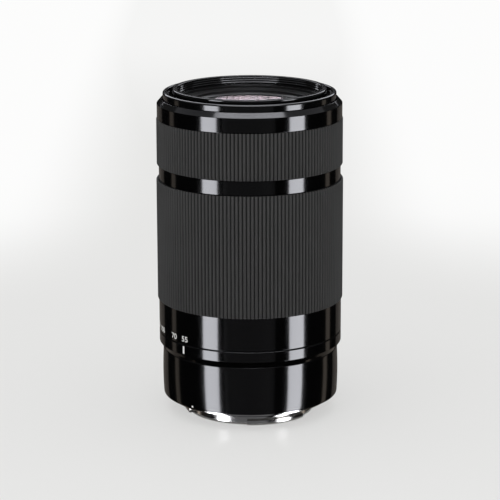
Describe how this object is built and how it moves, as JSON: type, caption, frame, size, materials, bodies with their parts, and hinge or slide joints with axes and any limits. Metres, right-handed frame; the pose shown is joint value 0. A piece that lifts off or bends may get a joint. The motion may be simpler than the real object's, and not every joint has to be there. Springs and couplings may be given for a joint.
{
  "type": "camera lens",
  "caption": "Telephoto zoom lens for a mirrorless camera: bayonet mount, zoom ring that drives an extending front barrel, electronic focus ring, iris and stabiliser.",
  "frame": {"origin": "centre of the bayonet flange's seating face, on the optical axis", "axes": "+Z along the optical axis towards the front glass, -Y towards the index mark"},
  "size_m": [0.0638, 0.0638, 0.1126],
  "materials": {
    "bayonet_chrome": "satin",
    "screw_steel": "satin",
    "baffle_black": "matte",
    "contact_gold": "polished",
    "contact_moulding": "matte",
    "cover_black": "satin",
    "gloss_black": "gloss",
    "barrel_black": "satin",
    "grip_rubber": "matte",
    "front_black": "satin",
    "board": "satin",
    "felt": "matte",
    "cam_aluminium": "anodised",
    "slide_steel": "satin",
    "blade_black": "matte",
    "lens_glass": "polished",
    "magnet_steel": "satin",
    "coil_copper": "satin"
  },
  "bodies": {
    "barrel": {"mount_ring": "bayonet_chrome", "mount_screws": "screw_steel", "rear_baffle": "baffle_black", "contact_block": "contact_moulding", "contact_pins": "contact_gold", "rear_cover": "cover_black", "index_ring": "gloss_black", "main_board": "board", "main_barrel": "gloss_black", "guide_barrel": "barrel_black", "guide_screws": "screw_steel", "cam_retaining_ring": "barrel_black", "front_trim_ring": "gloss_black", "front_seal": "felt", "zoom_sensor": "board", "focus_sensor": "barrel_black"},
    "zoom_ring": {"zoom_ring": "gloss_black", "zoom_grip": "grip_rubber", "zoom_keys": "slide_steel", "cam_barrel": "cam_aluminium", "zoom_brush": "contact_gold"},
    "focus_ring": {"focus_ring": "barrel_black", "focus_grip": "grip_rubber", "focus_scale": "magnet_steel"},
    "front_barrel": {"front_tube": "front_black", "front_followers": "slide_steel", "filter_ring": "front_black", "name_ring": "front_black", "front_cell": "barrel_black", "front_doublet": "lens_glass", "front_third_element": "lens_glass", "front_retaining_ring": "barrel_black"},
    "variator_group": {"variator_frame": "barrel_black", "variator_followers": "slide_steel", "variator_elements": "lens_glass"},
    "rear_carriage": {"carriage_frame": "barrel_black", "carriage_followers": "slide_steel", "master_elements": "lens_glass", "iris_base": "blade_black", "iris_cover": "barrel_black", "stabiliser_base": "barrel_black", "stabiliser_yoke": "magnet_steel", "rear_frame": "barrel_black", "rear_element": "lens_glass", "focus_rods": "slide_steel", "focus_yoke": "magnet_steel"},
    "iris_ring": {"iris_drive_ring": "blade_black"},
    "stabiliser_pitch": {"pitch_frame": "barrel_black"},
    "stabiliser_yaw": {"yaw_frame": "barrel_black", "stabiliser_element": "lens_glass"},
    "focus_group": {"focus_frame": "barrel_black", "focus_doublet": "lens_glass", "focus_coil": "coil_copper"},
    "iris_blade_1": {"iris_blade_1": "blade_black"},
    "iris_blade_2": {"iris_blade_2": "blade_black"},
    "iris_blade_3": {"iris_blade_3": "blade_black"},
    "iris_blade_4": {"iris_blade_4": "blade_black"},
    "iris_blade_5": {"iris_blade_5": "blade_black"},
    "iris_blade_6": {"iris_blade_6": "blade_black"},
    "iris_blade_7": {"iris_blade_7": "blade_black"}
  },
  "joints": [
    {"name": "zoom_turn", "type": "hinge", "parent": "barrel", "child": "zoom_ring", "pos_m": [0, 0, 0.05], "axis": [0, 0, 1], "range_deg": [0, 60]},
    {"name": "front_slide", "type": "slide", "parent": "barrel", "child": "front_barrel", "axis": [0, 0, 1], "range_m": [0, 0.05607]},
    {"name": "variator_slide", "type": "slide", "parent": "barrel", "child": "variator_group", "axis": [0, 0, 1], "range_m": [0, 0.00801]},
    {"name": "carriage_slide", "type": "slide", "parent": "barrel", "child": "rear_carriage", "axis": [0, 0, 1], "range_m": [0, 0.01401]},
    {"name": "focus_turn", "type": "hinge", "parent": "barrel", "child": "focus_ring", "pos_m": [0, 0, 0.09], "axis": [0, 0, 1], "continuous": true},
    {"name": "iris_turn", "type": "hinge", "parent": "rear_carriage", "child": "iris_ring", "pos_m": [0, 0, 0.0585], "axis": [0, 0, 1], "range_deg": [0, 20]},
    {"name": "pitch_shift", "type": "slide", "parent": "rear_carriage", "child": "stabiliser_pitch", "axis": [0, 1, 0], "range_m": [-0.0006, 0.0006]},
    {"name": "yaw_shift", "type": "slide", "parent": "stabiliser_pitch", "child": "stabiliser_yaw", "axis": [1, 0, 0], "range_m": [-0.0006, 0.0006]},
    {"name": "focus_slide", "type": "slide", "parent": "rear_carriage", "child": "focus_group", "axis": [0, 0, 1], "range_m": [0, 0.004]},
    {"name": "blade_1_swing", "type": "hinge", "parent": "rear_carriage", "child": "iris_blade_1", "pos_m": [-0.0026, 0.01477, 0.0593], "axis": [0, 0, 1], "range_deg": [0, 30.01]},
    {"name": "blade_2_swing", "type": "hinge", "parent": "rear_carriage", "child": "iris_blade_2", "pos_m": [-0.01317, 0.00717, 0.0593], "axis": [0, 0, 1], "range_deg": [0, 30.01]},
    {"name": "blade_3_swing", "type": "hinge", "parent": "rear_carriage", "child": "iris_blade_3", "pos_m": [-0.01382, -0.00583, 0.0593], "axis": [0, 0, 1], "range_deg": [0, 30.01]},
    {"name": "blade_4_swing", "type": "hinge", "parent": "rear_carriage", "child": "iris_blade_4", "pos_m": [-0.00406, -0.01444, 0.0593], "axis": [0, 0, 1], "range_deg": [0, 30.01]},
    {"name": "blade_5_swing", "type": "hinge", "parent": "rear_carriage", "child": "iris_blade_5", "pos_m": [0.00876, -0.01218, 0.0593], "axis": [0, 0, 1], "range_deg": [0, 30.01]},
    {"name": "blade_6_swing", "type": "hinge", "parent": "rear_carriage", "child": "iris_blade_6", "pos_m": [0.01498, -0.00075, 0.0593], "axis": [0, 0, 1], "range_deg": [0, 30.01]},
    {"name": "blade_7_swing", "type": "hinge", "parent": "rear_carriage", "child": "iris_blade_7", "pos_m": [0.00993, 0.01125, 0.0593], "axis": [0, 0, 1], "range_deg": [0, 30.01]}
  ],
  "couplings": [
    {"joint": "front_slide", "follows": "zoom_turn", "m_per_rad": 0.053533},
    {"joint": "variator_slide", "follows": "zoom_turn", "m_per_rad": 0.0076394},
    {"joint": "carriage_slide", "follows": "zoom_turn", "m_per_rad": 0.013369},
    {"joint": "blade_1_swing", "follows": "iris_turn", "ratio": 1.5},
    {"joint": "blade_2_swing", "follows": "iris_turn", "ratio": 1.5},
    {"joint": "blade_3_swing", "follows": "iris_turn", "ratio": 1.5},
    {"joint": "blade_4_swing", "follows": "iris_turn", "ratio": 1.5},
    {"joint": "blade_5_swing", "follows": "iris_turn", "ratio": 1.5},
    {"joint": "blade_6_swing", "follows": "iris_turn", "ratio": 1.5},
    {"joint": "blade_7_swing", "follows": "iris_turn", "ratio": 1.5}
  ]
}
